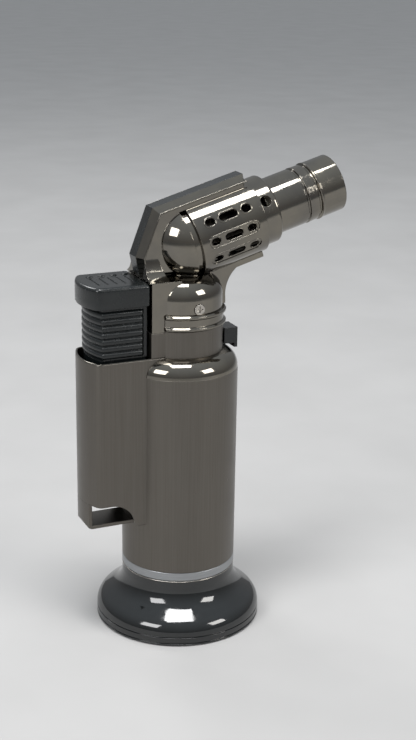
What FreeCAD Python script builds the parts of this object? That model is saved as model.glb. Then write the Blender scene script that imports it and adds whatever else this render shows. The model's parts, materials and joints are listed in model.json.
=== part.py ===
import FreeCAD, Part
import Sketcher
import math
import os
import re

# Hand-held butane torch on a round stand. Millimetres, +Z up, +X towards the flame.
# The origin is on the tank's vertical axis, in the plane that the stand rests on.
# The barrel has its own axis, tilted up from +X. Barrel pieces are drawn along +Z with the
# barrel's start at their origin, where -X is "above the axis", and are then laid on that axis.

V = FreeCAD.Vector
doc = FreeCAD.newDocument("ButaneTorch")

SIZES = {
    # stand
    "stand_radius": 25, "stand_height": 17.08, "stand_rim": 3.2, "stand_roll": 5, "stand_flare": 7,
    "stand_flare_angle": 55, "stand_neck": 15, "stand_well": 8.2, "stand_floor": 2,
    "plate_radius": 22.5, "plate_thick": 2, "refill_radius": 6,
    # tank, collar and sleeve
    "body_radius": 17.16, "collar_height": 3, "collar_bore": 15.2,
    "sleeve_wall": 0.6, "sleeve_top": 80.13,
    "tank_radius": 16.4, "tank_wall": 1.6, "tank_top": 76.4, "tank_flat": 12.3, "tank_flat_low": 41.5,
    "lid_thick": 3, "lid_boss": 6.5, "lid_boss_top": 85.6, "post_top": 101.2, "post_far": 10.2,
    "post_near": 7.2,
    # trigger housing on the sleeve's side
    "housing_end": 31.3, "housing_half": 9.35, "housing_top": 85.6, "housing_low": 42, "housing_corner": 2.2,
    "housing_foot": 34.6, "housing_arch": 7.2, "housing_front": 8.7, "back_bow": 18,
    "liner_top": 76, "liner_wall": 0.8, "liner_floor": 1.2,
    "loop_half": 5, "loop_strap": 1, "loop_low": 33.9, "loop_corner": 2,
    # shoulder, neck and rings
    "neck_radius": 12.58, "neck_low": 85.3, "neck_top": 93.3, "neck_wall": 1,
    "block_back": 12.75, "block_top": 93, "ring_radius": 13.4, "ring_top": 98, "ring_thick": 1.3,
    # head
    "dome_radius": 12.3, "dome_wall": 1.5, "dome_spring": 102, "dome_curve": 6.4, "dome_crown": 108.2,
    "dome_crown_radius": 5.9, "ledge_top": 107.6, "ledge_half": 9.3, "ledge_back": 12.55,
    "head_half": 5.3, "spine_half": 2.4, "spine_thick": 1.6, "bevel_angle": 30,
    "foot_x": 13.5, "foot_z": 107.8, "knee_x": 14.9, "knee_z": 114, "crown_x": 9.8, "crown_z": 127.6,
    "roof_offset": 13.15, "roof_end": 22.6, "web_half": 3, "web_offset": 12.6, "web_end": 22.6,
    # barrel
    "barrel_height": 116.77, "barrel_tilt": 16.36, "barrel_radius": 11.3, "barrel_wall": 0.9,
    "barrel_start": 2, "barrel_end": 22.9, "ball_station": 1.8, "vent_depth": 0.3, "vent_half": 1.15,
    "vent_pitch": 5.8, "vent_middle": 12.3, "vent_long": 5.8, "vent_short": 3, "vent_angle": 30,
    "collar_out": 10.2, "collar_end": 28.3, "air_hole": 1.65, "air_station": 24.9,
    "nozzle_radius": 8.45, "nozzle_bore": 7.7, "nozzle_start": 25.6, "nozzle_end": 50.8,
    # burner and gas way
    "flame_radius": 5.2, "flame_bore": 4.7, "flame_start": 24, "flame_end": 45.5,
    "mixer_radius": 4, "mixer_bore": 3.1, "mixer_start": 7.2, "mixer_end": 27.6,
    "holder_radius": 3.4, "holder_start": -2.6, "holder_end": 8.4, "hose_radius": 2, "hose_bore": 1.15,
    "hose_low": 103.2, "hose_top": 110, "electrode_offset": 6.35, "insulator_radius": 0.9,
    # valves
    "valve_radius": 4, "valve_low": 70, "valve_top": 90, "stem_radius": 1.1, "stem_top": 104.6,
    "stem_collar": 101.3, "fill_radius": 3.2, "fill_low": 12, "fill_top": 24, "fill_stem": 0.9,
    # trigger
    "cap_low": 101.2, "cap_top": 107.5, "cap_back": 31.2, "cap_front": 13.05, "cap_half": 9.3,
    "skirt_back": 29.3, "skirt_front": 13.3, "skirt_half": 8.6, "skirt_low": 85.9, "rib_pitch": 1.95,
    "guide_back": 28.8, "guide_front": 13.6, "guide_half": 7.55, "guide_low": 79,
    # igniter
    "piezo_x": 20.7, "piezo_case_low": 46, "piezo_case_top": 80, "piezo_half_x": 5.1, "piezo_half_y": 4.5,
    "plunger_low": 67, "plunger_half_x": 3.9, "plunger_half_y": 3.3,
    # levers
    "pivot_x": 8, "pivot_z": 100, "pin_radius": 0.8, "running": 0.05,
    "knob_face": 17.2, "knob_half": 3.2, "knob_low": 85.6, "knob_top": 90.4, "adjuster_radius": 6.3,
    "screw_x": 0.7, "screw_z": 99.6, "screw_head": 1.55,
}

sheet = doc.addObject("Spreadsheet::Sheet", "Dims")
for row, (alias, number) in enumerate(SIZES.items(), start=1):
    sheet.set(f"A{row}", alias)
    sheet.set(f"B{row}", str(number))
    sheet.setAlias(f"B{row}", alias)
doc.recompute()


# ---------------------------------------------------------------- helpers

def cell(formula):
    """A formula in the sheet's own words, as a FreeCAD expression."""
    return re.sub(r"[a-z][a-z_]*", lambda word: "Dims." + word[0] if word[0] in SIZES else word[0],
                  str(formula))


def size(formula):
    return float(sheet.evalExpression(cell(formula)))


def bind(obj, prop, formula):
    obj.setExpression(prop, cell(formula))


def place(obj, x="0", y="0", z="0"):
    for axis, formula in zip("xyz", (x, y, z)):
        bind(obj, "Placement.Base." + axis, formula)
    return obj


def part(kind, name="shape"):
    return doc.addObject("Part::" + kind, name)


def rod(radius, low, high, x="0", y="0"):
    """Upright cylinder."""
    obj = part("Cylinder", "rod")
    bind(obj, "Radius", radius)
    bind(obj, "Height", f"({high})-({low})")
    return place(obj, x, y, low)


def rod_along_y(radius, near, far, x, z):
    """Cylinder along Y, from near to far."""
    obj = part("Cylinder", "cross_rod")
    obj.Placement.Rotation = FreeCAD.Rotation(V(1, 0, 0), -90)
    bind(obj, "Radius", radius)
    bind(obj, "Height", f"({far})-({near})")
    return place(obj, x, near, z)


def block(x, y, z):
    """Box between the two formulas of each of x, y and z."""
    obj = part("Box", "block")
    for prop, (low, high) in zip(("Length", "Width", "Height"), (x, y, z)):
        bind(obj, prop, f"({high})-({low})")
    return place(obj, x[0], y[0], z[0])


def ball(radius, z="0"):
    obj = part("Sphere", "ball")
    bind(obj, "Radius", radius)
    return place(obj, z=z)


def fuse(*shapes):
    obj = part("MultiFuse", "joined")
    obj.Shapes = list(shapes)
    return obj


def common(first, second):
    obj = part("MultiCommon", "shared")
    obj.Shapes = [first, second]
    return obj


def cut(base, *tools):
    obj = part("Cut", "cut")
    obj.Base = base
    obj.Tool = tools[0] if len(tools) == 1 else fuse(*tools)
    return obj


def outline_sketch(body, role, outline):
    """Closed outline, each corner fixed by two formulas. A third entry is the signed radius
    of an arc to the next corner, positive when it turns anticlockwise."""
    sketch = body.newObject("Sketcher::SketchObject", "outline")
    plane = next(item for item in body.Origin.OriginFeatures if item.Role == role)
    sketch.AttachmentSupport = [(plane, "")]
    sketch.MapMode = "FlatFace"
    corners = [V(size(corner[0]), size(corner[1]), 0) for corner in outline]
    count = len(corners)
    edges, first_end, radii = [], [], []
    for index, corner in enumerate(outline):
        start, end = corners[index], corners[(index + 1) % count]
        if len(corner) < 3:
            edges.append(Part.LineSegment(start, end))
            first_end.append(1)
            continue
        bend = size(corner[2])
        radii.append((index, corner[2].lstrip("-")))
        chord = end - start
        rise = math.sqrt(max(bend * bend - chord.Length ** 2 / 4, 0))
        side = V(-chord.y, chord.x, 0).normalize() * math.copysign(rise, bend)
        centre = (start + end) / 2 + side
        angles = [math.atan2(p.y - centre.y, p.x - centre.x) for p in (start, end)]
        if bend < 0:
            angles.reverse()
        if angles[1] < angles[0]:
            angles[1] += 2 * math.pi
        edges.append(Part.ArcOfCircle(Part.Circle(centre, V(0, 0, 1), abs(bend)), *angles))
        first_end.append(1 if bend > 0 else 2)
    sketch.addGeometry(edges, False)
    limits, formulas = [], []
    for index, corner in enumerate(outline):
        following = (index + 1) % count
        last_end = 3 - first_end[index]
        limits.append(Sketcher.Constraint("Coincident", index, last_end, following, first_end[following]))
        formulas.append(None)
        for kind, formula, number in (("DistanceX", corner[0], corners[index].x),
                                      ("DistanceY", corner[1], corners[index].y)):
            limits.append(Sketcher.Constraint(kind, -1, 1, index, first_end[index], number))
            formulas.append(formula)
    for index, formula in radii:
        limits.append(Sketcher.Constraint("Radius", index, size(formula)))
        formulas.append(formula)
    sketch.addConstraint(limits)
    for index, formula in enumerate(formulas):
        if formula is not None:
            bind(sketch, f"Constraints[{index}]", formula)
    return sketch


def turned(outline):
    """Solid of revolution about Z from an outline of (radius, height) corners."""
    body = doc.addObject("PartDesign::Body", "turned")
    sketch = outline_sketch(body, "XZ_Plane", outline)
    turn = body.newObject("PartDesign::Revolution", "turn")
    turn.Profile = sketch
    turn.ReferenceAxis = (sketch, ["V_Axis"])
    turn.Angle = 360
    sketch.Visibility = False
    return body


def slab(outline, half):
    """Plate with an outline of (x, z) corners, as thick as twice half, centred on Y = 0."""
    body = doc.addObject("PartDesign::Body", "slab")
    sketch = outline_sketch(body, "XZ_Plane", outline)
    pad = body.newObject("PartDesign::Pad", "pad")
    pad.Profile = sketch
    pad.SideType = "Symmetric"
    bind(pad, "Length", f"2*({half})")
    return body


def plan_slab(outline, low, high):
    """Upright prism with a plan of (x, y) corners."""
    body = doc.addObject("PartDesign::Body", "plan_slab")
    sketch = outline_sketch(body, "XY_Plane", outline)
    pad = body.newObject("PartDesign::Pad", "pad")
    pad.Profile = sketch
    bind(pad, "Length", f"({high})-({low})")
    return place(body, z=low)


def rounded_plan(back, front, half, corner):
    """Plan of a block from x = -back to x = -front. Its back is bowed outwards and meets the
    sides in rounded corners."""
    inner = f"(back_bow-({corner}))"
    reach = f"sqrt({inner}^2-(({half})-({corner}))^2)"
    side_x = f"back_bow-({back})-{reach}"
    bow_x = f"back_bow-({back})-{reach}*back_bow/{inner}"
    bow_y = f"(({half})-({corner}))*back_bow/{inner}"
    return [(f"-({front})", f"-({half})"), (f"-({front})", half), (side_x, half, corner),
            (bow_x, bow_y, "back_bow"), (bow_x, f"-{bow_y}", corner), (side_x, f"-({half})")]


def rounded_top(prism, top, radius, *upright):
    """Rounds all edges of a prism's top face, and its upright edges at the given x formulas."""
    doc.recompute()
    level, sides = size(top), [size(x) for x in upright]
    picked = []
    for index, edge in enumerate(prism.Shape.Edges, start=1):
        on_top = all(abs(vertex.Z - level) < 1e-6 for vertex in edge.Vertexes)
        on_side = any(all(abs(vertex.X - x) < 1e-6 for vertex in edge.Vertexes) for x in sides)
        is_upright = abs(edge.Vertexes[0].Z - edge.Vertexes[-1].Z) > 1e-6
        if on_top or (on_side and is_upright):
            picked.append((index, radius, radius))
    obj = part("Fillet", "rounded_top")
    obj.Base = prism
    obj.Edges = picked
    return obj


def on_barrel(obj):
    """Lays a piece that is drawn along +Z on the tilted barrel axis."""
    obj.Placement = FreeCAD.Placement(V(0, 0, size("barrel_height")),
                                      FreeCAD.Rotation(V(0, 1, 0), 90 - size("barrel_tilt")))
    bind(obj, "Placement.Base.z", "barrel_height")
    bind(obj, "Placement.Rotation.Angle", "90-barrel_tilt")
    return obj


def barrel_point(station, offset):
    """(x, z) formulas of a point at a station along the barrel axis and an offset above it."""
    return (f"({station})*cos(barrel_tilt)-({offset})*sin(barrel_tilt)",
            f"barrel_height+({station})*sin(barrel_tilt)+({offset})*cos(barrel_tilt)")


def coil(radius, wire, low, high, turns, x="0"):
    """Open helical spring, standing on Z = low."""
    helix = part("Helix", "helix")
    bind(helix, "Radius", radius)
    bind(helix, "Height", f"({high})-({low})-2*({wire})")
    bind(helix, "Pitch", f"(({high})-({low})-2*({wire}))/({turns})")
    wire_section = part("Circle", "wire_section")
    bind(wire_section, "Radius", wire)
    wire_section.Placement.Rotation = FreeCAD.Rotation(V(1, 0, 0), 90)
    bind(wire_section, "Placement.Base.x", radius)
    sweep = part("Sweep", "coil")
    sweep.Sections = [wire_section]
    sweep.Spine = (helix, ["Edge1"])
    sweep.Solid = True
    sweep.Frenet = True
    return place(sweep, x=x, z=f"({low})+({wire})")


def cord(points, radius, label):
    """Round cord along straight runs joined by tangent arcs, as one solid."""
    edges, start = [], points[0]
    for before, corner, after in zip(points, points[1:], points[2:]):
        back, onward = before - corner, after - corner
        half_turn = (math.pi - back.getAngle(onward)) / 2
        bend = 0.45 * min(back.Length, onward.Length) / math.tan(half_turn)
        reach = bend * math.tan(half_turn)
        enter, leave = corner + back.normalize() * reach, corner + onward.normalize() * reach
        middle = corner + (back + onward).normalize() * (bend / math.cos(half_turn) - bend)
        edges += [Part.LineSegment(start, enter).toShape(), Part.Arc(enter, middle, leave).toShape()]
        print(f"{label}: bend radius {bend:.2f} mm")
        start = leave
    edges.append(Part.LineSegment(start, points[-1]).toShape())
    route = Part.Wire(edges)
    section = Part.Wire(Part.Circle(points[0], points[1] - points[0], radius).toShape())
    shape = route.makePipeShell([section], True, False)
    expected = math.pi * radius ** 2 * route.Length
    print(f"{label}: volume {shape.Volume:.2f} mm3, section x length {expected:.2f} mm3")
    obj = doc.addObject("Part::Feature", "cord")
    obj.Shape = shape
    return obj


# ---------------------------------------------------------------- stand

def base_stand():
    """Trumpet-shaped moulding with two bead lines round its rim, a hollow underside and a hole
    over the fill valve."""
    rolled = ("stand_radius-stand_roll*(1-cos(stand_flare_angle))",
              "stand_rim+stand_roll*sin(stand_flare_angle)")
    flared = ("body_radius+stand_flare*(1-cos(stand_flare_angle))",
              "stand_neck-stand_flare*sin(stand_flare_angle)")
    rim = [("stand_radius-0.4", "0"), ("stand_radius", "0.4")]
    for bead in ("0.75", "stand_rim-0.5"):
        rim += [("stand_radius", bead), ("stand_radius-0.3", f"{bead}+0.15"),
                ("stand_radius-0.3", f"{bead}+0.3"), ("stand_radius", f"{bead}+0.45")]
    return turned([
        ("plate_radius+0.1", "0"), *rim, ("stand_radius", "stand_rim", "stand_roll"), rolled,
        (*flared, "-stand_flare"), ("body_radius", "stand_neck"), ("body_radius-0.25", "stand_height"),
        ("stand_well", "stand_height"), ("stand_well", "stand_height-stand_floor"),
        ("body_radius-2", "stand_height-stand_floor"), ("body_radius-2", "stand_neck-3"),
        ("stand_radius-6", "stand_rim+5"), ("plate_radius-1.2", "stand_rim+2"),
        ("plate_radius-1.2", "plate_thick"), ("plate_radius+0.1", "plate_thick")])


def base_plate():
    """Flat disc that closes the stand's underside, with the refill hole in its middle."""
    return cut(rod("plate_radius", "0", "plate_thick"), rod("refill_radius", "-1", "plate_thick+1"))


def base_collar():
    return turned([("collar_bore", "stand_height"), ("body_radius-0.6", "stand_height"),
                   ("body_radius", "stand_height+0.5"), ("body_radius", "stand_height+collar_height-0.15"),
                   ("body_radius-0.15", "stand_height+collar_height"),
                   ("collar_bore", "stand_height+collar_height")])


# ---------------------------------------------------------------- tank and its valves

def fuel_tank():
    """Round cup with a flat on the trigger's side and a boss for the fill valve below."""
    floor = "stand_height+collar_height+0.1"
    outside = fuse(rod("collar_bore-0.1", "stand_height+0.05", floor), rod("tank_radius", floor, "tank_top"),
                   rod("5.6", "fill_low+0.8", floor))
    flat = block(("-30", "-tank_flat"), ("-20", "20"), ("tank_flat_low", "tank_top+1"))
    room = cut(rod("tank_radius-tank_wall", "stand_height+collar_height+1.8", "tank_top+1"),
               block(("-30", "tank_wall-tank_flat"), ("-20", "20"),
                     ("tank_flat_low-tank_wall", "tank_top+2")))
    return cut(outside, flat, room, rod("fill_radius", "0", "fill_top+5"))


def tank_seal():
    """Flat gasket between the tank and its lid."""
    ring = cut(rod("tank_radius-0.3", "tank_top", "tank_top+0.5"),
               rod("tank_radius-1.3", "tank_top-1", "tank_top+1"))
    return cut(ring, block(("-30", "-tank_flat"), ("-20", "20"), ("0", "100")))


def tank_lid():
    """Lid with the outlet valve's boss and two posts that the head is screwed to."""
    low = "tank_top+0.5"
    disc = cut(rod("tank_radius-0.1", low, "tank_top+lid_thick"),
               block(("-30", "-tank_flat"), ("-20", "20"), ("0", "100")),
               block(("-30", "-9.6"), ("6.2", "20"), ("0", "100")))
    posts = [block(("screw_x-1.6", "screw_x+1.6"), span, ("tank_top+1", "post_top"))
             for span in (("post_near", "post_far"), ("-post_far", "-post_near"))]
    solid = fuse(disc, rod("lid_boss", low, "lid_boss_top"), *posts)
    return cut(solid, rod("valve_radius", "0", "110"),
               rod_along_y("0.8", "-post_far-1", "post_far+1", "screw_x", "screw_z"))


def fill_valve_body():
    return turned([("0.95", "fill_low"), ("fill_radius", "fill_low"), ("fill_radius", "fill_top"),
                   ("0.4", "fill_top"), ("0.4", "fill_top-1.5"), ("2.2", "fill_top-1.5"),
                   ("2.2", "fill_low+3"), ("0.95", "fill_low+3")])


def fill_valve_seal():
    return cut(rod("2.1", "fill_low+3", "fill_low+3.5"), rod("1", "fill_low", "fill_top"))


def fill_valve_stem():
    """Stem that the refill can pushes up, with a blind filling hole in its tip."""
    solid = fuse(rod("fill_stem", "fill_low-1.3", "fill_low+3.8"), rod("2", "fill_low+3.6", "fill_low+4.4"))
    return cut(solid, rod("0.35", "0", "fill_low+3"))


def fill_valve_spring():
    return coil("1.5", "0.3", "fill_low+4.45", "fill_top-1.55", "4")


def outlet_valve_body():
    """Brass barrel in the lid's boss, with a bore for the stem and a room for its spring."""
    return turned([("stem_radius+running", "valve_low"), ("valve_radius-1.4", "valve_low"),
                   ("valve_radius-1.4", "tank_top"),
                   ("valve_radius", "tank_top"), ("valve_radius", "valve_top"),
                   ("stem_radius+running", "valve_top"), ("stem_radius+running", "valve_top-1"),
                   ("2.7", "valve_top-1"), ("2.7", "valve_top-6.6"),
                   ("stem_radius+running", "valve_top-6.6")])


def outlet_valve_stem():
    """Hollow stem with a flange under the spring and a collar over the gas lever."""
    solid = fuse(rod("stem_radius", "valve_top-9", "stem_top"), rod("2.4", "valve_top-6.5", "valve_top-5.7"),
                 rod("2.6", "stem_collar", "stem_collar+0.8"))
    return cut(solid, rod("0.45", "valve_top-8", "stem_top+1"))


def valve_spring():
    return coil("1.8", "0.3", "valve_top-5.65", "valve_top-1.05", "4")


def flow_lever():
    """Ring round the valve with an arm through the neck and a ribbed knob outside."""
    arm = block(("adjuster_radius-1", "neck_radius+1"), ("-1.8", "1.8"),
                ("lid_boss_top+0.6", "lid_boss_top+2.6"))
    ring = rod("adjuster_radius", "lid_boss_top+0.3", "lid_boss_top+2.6")
    knob = block(("neck_radius+0.35", "knob_face"), ("-knob_half", "knob_half"), ("knob_low", "knob_top"))
    lip = block(("knob_face-1", "knob_face"), ("-knob_half", "knob_half"), ("knob_low-1.3", "knob_low+1"))
    grooves = [block(("knob_face-0.35", "knob_face+1"), (str(y - 0.25), str(y + 0.25)), ("80", "95"))
               for y in (-1.5, -0.5, 0.5, 1.5)]
    return cut(fuse(ring, arm, knob, lip), rod("valve_radius+running", "80", "95"), *grooves)


# ---------------------------------------------------------------- sleeve and trigger housing

def body_sleeve():
    """Sheet sleeve round the tank, in one with the open-ended trigger housing on its side."""
    housing = plan_slab(rounded_plan("housing_end", "housing_front", "housing_half", "housing_corner"),
                        "housing_foot", "housing_top")
    outside = fuse(rod("body_radius", "stand_height+collar_height", "sleeve_top"),
                   rounded_top(housing, "housing_top", 0.4))
    room = plan_slab(rounded_plan("housing_end-sleeve_wall", "housing_front-1", "housing_half-sleeve_wall",
                                  "housing_corner-sleeve_wall"), "30", "housing_top+1")
    inside = fuse(rod("body_radius-sleeve_wall", "0", "sleeve_top+0.02"),
                  cut(room, rod("body_radius", "0", "housing_low+0.3")))
    arch = slab([("-housing_end-1", "30"), ("-15.4", "30"), ("-15.4", "housing_foot", "-2.1"),
                 ("-body_radius-0.9", "housing_foot+1.9", "housing_arch"),
                 ("-body_radius-8", "housing_low"), ("-housing_end-1", "housing_low")], "20")
    return cut(outside, inside, cut(arch, rod("body_radius", "0", "100")))


def housing_liner():
    """Moulded well inside the trigger housing, with ledges under the igniter."""
    gap = "sleeve_wall+0.1"
    outside = plan_slab(rounded_plan(f"housing_end-({gap})", "tank_flat+0.1", f"housing_half-({gap})",
                                     "housing_corner-sleeve_wall"), "housing_low+0.3", "liner_top")
    room = plan_slab(rounded_plan(f"housing_end-({gap})-liner_wall", "tank_flat+0.1+liner_wall",
                                  f"housing_half-({gap})-liner_wall", "0.8"),
                     "housing_low+0.3+liner_floor", "liner_top+1")
    lead_gap = block(("-16.2", "-12"), ("6", "20"), ("piezo_case_low-2.2", "piezo_case_low+5"))
    ledges = [block((f"-piezo_x+({x})-1", f"-piezo_x+({x})+1"), ("-4.4", "2.2"),
                    ("housing_low+1", "piezo_case_low"))
              for x in ("-piezo_half_x+1", "piezo_half_x-1")]
    return fuse(cut(outside, room, lead_gap), *ledges)


def lanyard_loop():
    """Strap that carries the housing's back wall down and then back to the round sleeve."""
    def bowed(inset):
        return plan_slab(rounded_plan(f"housing_end-({inset})", "5", "housing_half", "housing_corner"), "30",
                         "60")
    outside = slab([("-housing_end", "housing_low-0.02"),
                    ("-housing_end", "loop_low+loop_corner", "loop_corner"),
                    ("loop_corner-housing_end", "loop_low"), ("-body_radius+1", "loop_low"),
                    ("-body_radius+1", "housing_low-0.02")], "loop_half")
    window = slab([("loop_strap-housing_end", "housing_low+1"),
                   ("loop_strap-housing_end", "loop_low+loop_corner+0.2", "loop_corner-0.8"),
                   ("loop_corner+0.2-housing_end", "loop_low+loop_strap"), ("0", "loop_low+loop_strap"),
                   ("0", "housing_low+1")], "loop_half+1")
    return cut(common(outside, bowed("0")), common(window, bowed("loop_strap")),
               rod("body_radius+0.01", "0", "100"))


# ---------------------------------------------------------------- neck

def shoulder_cap():
    """Rounded shoulder between the sleeve and the neck, cut away for the housing."""
    shell = turned([
        ("body_radius", "sleeve_top"), ("body_radius-0.1", "sleeve_top+0.9", "5.2"),
        ("neck_radius+1.1", "neck_low-0.25"),
        ("neck_radius+0.02", "neck_low"), ("neck_radius-1.1", "neck_low"), ("neck_radius-1.1", "neck_low-1"),
        ("body_radius-2", "sleeve_top+0.8"), ("body_radius-2", "sleeve_top-0.6"),
        ("body_radius-sleeve_wall-0.02", "sleeve_top-0.6"), ("body_radius-sleeve_wall-0.02", "sleeve_top")])
    return cut(shell, block(("-30", "0.05-housing_front"), ("-housing_half-0.05", "housing_half+0.05"),
                            ("0", "100")))


def neck_band():
    """Band round the valve, with a square block beside the trigger, a slot for the flow
    lever and a window for the trigger's cam."""
    outside = fuse(rod("neck_radius", "neck_low", "neck_top"),
                   block(("-block_back", "-5"), ("-housing_half", "housing_half"),
                         ("housing_top+0.1", "block_top")))
    inside = fuse(rod("neck_radius-neck_wall", "80", "100"),
                  block(("neck_wall-block_back", "0"), ("neck_wall-housing_half", "housing_half-neck_wall"),
                        ("80", "100")))
    low, high = "lid_boss_top+0.2", "knob_top+0.3"
    slot = plan_slab([("5", "-5*tan(33)"), ("20", "-20*tan(33)"), ("20", "20*tan(33)"), ("5", "5*tan(33)")],
                     low, high)
    return cut(outside, inside, slot, block(("-20", "-8"), ("-1.8", "1.8"), ("80", "100")))


def neck_ring():
    """Double bead with a groove between, open where the head's square block passes."""
    groove = "neck_radius+0.1"
    ring = turned([
        ("neck_radius-neck_wall", "neck_top"), ("ring_radius-0.4", "neck_top"),
        ("ring_radius", "neck_top+0.4"),
        ("ring_radius", "neck_top+ring_thick-0.4"), ("ring_radius-0.4", "neck_top+ring_thick"),
        (groove, "neck_top+ring_thick"), (groove, "ring_top-ring_thick"),
        ("ring_radius-0.4", "ring_top-ring_thick"),
        ("ring_radius", "ring_top-ring_thick+0.4"), ("ring_radius", "ring_top-0.4"),
        ("ring_radius-0.4", "ring_top"),
        ("neck_radius-neck_wall", "ring_top")])
    return cut(ring, block(("-30", "0.05-housing_front"), ("-30", "30"), ("0", "200")))


# ---------------------------------------------------------------- head

def head_outline(inset):
    """Corners of the head's side outline, moved inwards by inset along the roof and the back."""
    roof = f"roof_offset-({inset})"
    return [(f"-foot_x+({inset})", "foot_z"), (f"-knee_x+({inset})", "knee_z"),
            (f"-crown_x+0.85*({inset})", f"crown_z-0.75*({inset})"), barrel_point("roof_end", roof),
            barrel_point("roof_end", "0"), barrel_point("barrel_start", "0"), ("2", "foot_z")]


def head_plate():
    """Narrow upper body with a bevel on each side of the spine."""
    core = slab(head_outline("spine_thick"), "spine_half")
    sides = []
    for direction in (1, -1):
        holder = doc.addObject("PartDesign::Body", "head_side")
        sketch = outline_sketch(holder, "XZ_Plane", head_outline("0"))
        pad = holder.newObject("PartDesign::Pad", "bevelled")
        pad.Profile = sketch
        pad.Reversed = direction > 0
        bind(pad, "Length", "head_half-spine_half")
        bind(pad, "TaperAngle", "-bevel_angle")
        sides.append(place(holder, y=f"{direction}*spine_half"))
    return fuse(core, *sides)


def head_foot():
    """Foot that flares out smoothly from the head's back to the ledge."""
    flare = (("0", "3.9"), ("0.7", "2.7"), ("1.6", "1.6"), ("2.9", "0.75"), ("4.6", "0.2"), ("6.2", "0"))
    sections = []
    for height, spread in flare:
        back = f"foot_x+(knee_x-foot_x)*({height})/(knee_z-foot_z)-0.45-0.21*({height})"
        plan = part("Plane", "plan")
        bind(plan, "Length", f"{back}-6.8-0.4*({height})")
        bind(plan, "Width", f"2*(head_half+({spread}))")
        sections.append(place(plan, f"-({back})", f"-head_half-({spread})", f"ledge_top-0.1+({height})"))
    loft = part("Loft", "foot")
    loft.Sections = sections
    loft.Solid = True
    return loft


def head_web():
    """Gusset from the neck to the barrel's underside."""
    return slab([
        ("8", "ring_top+0.1"), ("neck_radius+0.5", "ring_top+0.1"),
        ("neck_radius+0.5", "ring_top+1.6", "-10"),
        barrel_point("13.5", "-web_offset"), barrel_point("web_end", "-web_offset"),
        barrel_point("web_end", "0"),
        ("4", "barrel_height")], "web_half")


def head_casting():
    """Both halves of the head before they are parted in the middle plane."""
    dome = turned([("0", "ring_top"), ("dome_radius", "ring_top"),
                   ("dome_radius", "dome_spring", "dome_curve"),
                   ("dome_crown_radius", "dome_crown"), ("0", "dome_crown")])
    back_block = fuse(block(("-ledge_back", "-housing_front-0.05"), ("-ledge_half", "ledge_half"),
                            ("block_top+0.02", "105")),
                      block(("-ledge_back", "-3.5"), ("-ledge_half", "ledge_half"),
                            ("ring_top", "ledge_top")))
    rear_ball = on_barrel(cut(ball("barrel_radius", "ball_station"), rod("20", "barrel_start-0.1", "40")))
    barrel_lip = on_barrel(rod("barrel_radius-barrel_wall-0.05", "-1", "barrel_start+2"))
    solid = fuse(head_plate(), head_foot(), head_web(), dome, back_block, rear_ball)
    barrel_room = on_barrel(rod("barrel_radius+0.05", "barrel_start-0.05", "45"))
    solid = fuse(cut(solid, barrel_room), barrel_lip)
    dome_room = turned([("0", "block_top-1"), ("dome_radius-dome_wall", "block_top-1"),
                        ("dome_radius-dome_wall", "dome_spring+1"), ("dome_crown_radius+0.5", "dome_crown-2"),
                        ("0", "dome_crown-2")])
    back_room = block(("1.2-ledge_back", "0"), ("1.2-ledge_half", "ledge_half-1.2"),
                      ("block_top-1", "dome_spring+4.2"))
    ball_room = on_barrel(ball("barrel_radius-1.1-barrel_wall", "ball_station"))
    bore_room = on_barrel(rod("barrel_radius-barrel_wall-1.1", "ball_station", "barrel_start+4"))
    throat = rod("5.6", "dome_crown-4", "barrel_height", x="1")
    rear_pocket = slab([("3.2-foot_x", "foot_z+2"), ("3.2-knee_x", "knee_z"), ("2.6-crown_x", "crown_z-3.4"),
                        ("-5", "crown_z-2.4"), ("-5", "foot_z+6")], "head_half-1.6")
    cam_window = block(("-20", "-8"), ("-1.8", "1.8"), ("80", "dome_spring"))
    pivots = [block(("-pivot_x-2", "-pivot_x+1.6"), span, ("ring_top+0.3", "pivot_z+3"))
              for span in (("3.6", "8.6"), ("-8.6", "-3.6"))]
    solid = fuse(cut(solid, dome_room, back_room, ball_room, bore_room, throat, rear_pocket, cam_window),
                 *pivots)
    screws = [rod_along_y("0.85", "-20", "20", "screw_x", "screw_z"),
              rod_along_y("screw_head+0.1", "dome_radius-1", "20", "screw_x", "screw_z"),
              rod_along_y("screw_head+0.1", "-20", "1-dome_radius", "screw_x", "screw_z"),
              rod_along_y("pin_radius", "-7.5", "7.5", "-pivot_x", "pivot_z")]
    return cut(solid, spine_strip("spine_thick", "spine_half"),
               rod("neck_radius+0.02", "80", "neck_top+0.02"), *screws)


def head_shell(casting, side):
    span = ("0", "40") if side > 0 else ("-40", "0")
    return common(casting, block(("-60", "60"), span, ("80", "150")))


def spine_strip(inner, half):
    """Strip along the head's back and roof, from its outline down to an inset."""
    strip = cut(slab(head_outline("0"), half), slab(head_outline(inner), "20"))
    below = block(("-30", "30"), ("-20", "20"), ("80", "ledge_top+1.2"))
    front = slab([("-7", "foot_z-1"), ("30", "foot_z-1"), barrel_point("roof_end+1", "0"),
                  barrel_point("0", "9")], "20")
    return cut(strip, below, front)


def head_spine():
    """Moulded strip let into the head's back and roof."""
    return cut(spine_strip("spine_thick-0.02", "spine_half-0.03"),
               on_barrel(rod("barrel_radius+0.1", "-20", "60")))


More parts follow.
